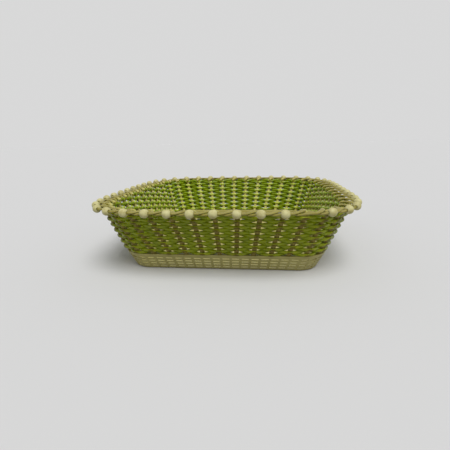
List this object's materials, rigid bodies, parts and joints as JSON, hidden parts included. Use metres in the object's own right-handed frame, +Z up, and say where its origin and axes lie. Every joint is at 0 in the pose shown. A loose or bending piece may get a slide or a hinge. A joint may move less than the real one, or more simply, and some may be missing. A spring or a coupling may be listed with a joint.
{
  "type": "woven basket",
  "caption": "Low flared square basket woven from translucent plastic cord round plastic stakes on a slotted moulded tray, with a beaded border.",
  "frame": {"origin": "middle of the tray's underside, where the basket stands", "axes": "+Z up, +Y from the front side to the back side along the longer way, +X to the right"},
  "size_m": [0.28, 0.3022, 0.0695],
  "materials": {
    "tray_plastic": "satin moulded cream plastic",
    "weaver_cord": "translucent yellow-green cord, softly glossy",
    "stake_cord": "cream cord and wood-like cream beads, satin"
  },
  "bodies": {
    "root": {"base_tray": "tray_plastic", "woven_wall": "weaver_cord", "beaded_stake_01": "stake_cord", "beaded_stake_02": "stake_cord", "beaded_stake_03": "stake_cord", "plain_stake_04": "stake_cord", "beaded_stake_05": "stake_cord", "beaded_stake_06": "stake_cord", "beaded_stake_07": "stake_cord", "beaded_stake_08": "stake_cord", "beaded_stake_09": "stake_cord", "beaded_stake_10": "stake_cord", "beaded_stake_11": "stake_cord", "beaded_stake_12": "stake_cord", "beaded_stake_13": "stake_cord", "beaded_stake_14": "stake_cord", "beaded_stake_15": "stake_cord", "beaded_stake_16": "stake_cord", "beaded_stake_17": "stake_cord", "beaded_stake_18": "stake_cord", "beaded_stake_19": "stake_cord", "beaded_stake_20": "stake_cord", "beaded_stake_21": "stake_cord", "beaded_stake_22": "stake_cord", "beaded_stake_23": "stake_cord", "beaded_stake_24": "stake_cord", "beaded_stake_25": "stake_cord", "beaded_stake_26": "stake_cord", "beaded_stake_27": "stake_cord", "beaded_stake_28": "stake_cord", "beaded_stake_29": "stake_cord", "beaded_stake_30": "stake_cord", "beaded_stake_31": "stake_cord", "beaded_stake_32": "stake_cord", "beaded_stake_33": "stake_cord", "beaded_stake_34": "stake_cord", "beaded_stake_35": "stake_cord", "beaded_stake_36": "stake_cord", "beaded_stake_37": "stake_cord", "beaded_stake_38": "stake_cord", "beaded_stake_39": "stake_cord", "beaded_stake_40": "stake_cord", "beaded_stake_41": "stake_cord", "beaded_stake_42": "stake_cord", "beaded_stake_43": "stake_cord", "beaded_stake_44": "stake_cord", "beaded_stake_45": "stake_cord", "beaded_stake_46": "stake_cord", "beaded_stake_47": "stake_cord", "beaded_stake_48": "stake_cord", "beaded_stake_49": "stake_cord"}
  },
  "joints": []
}
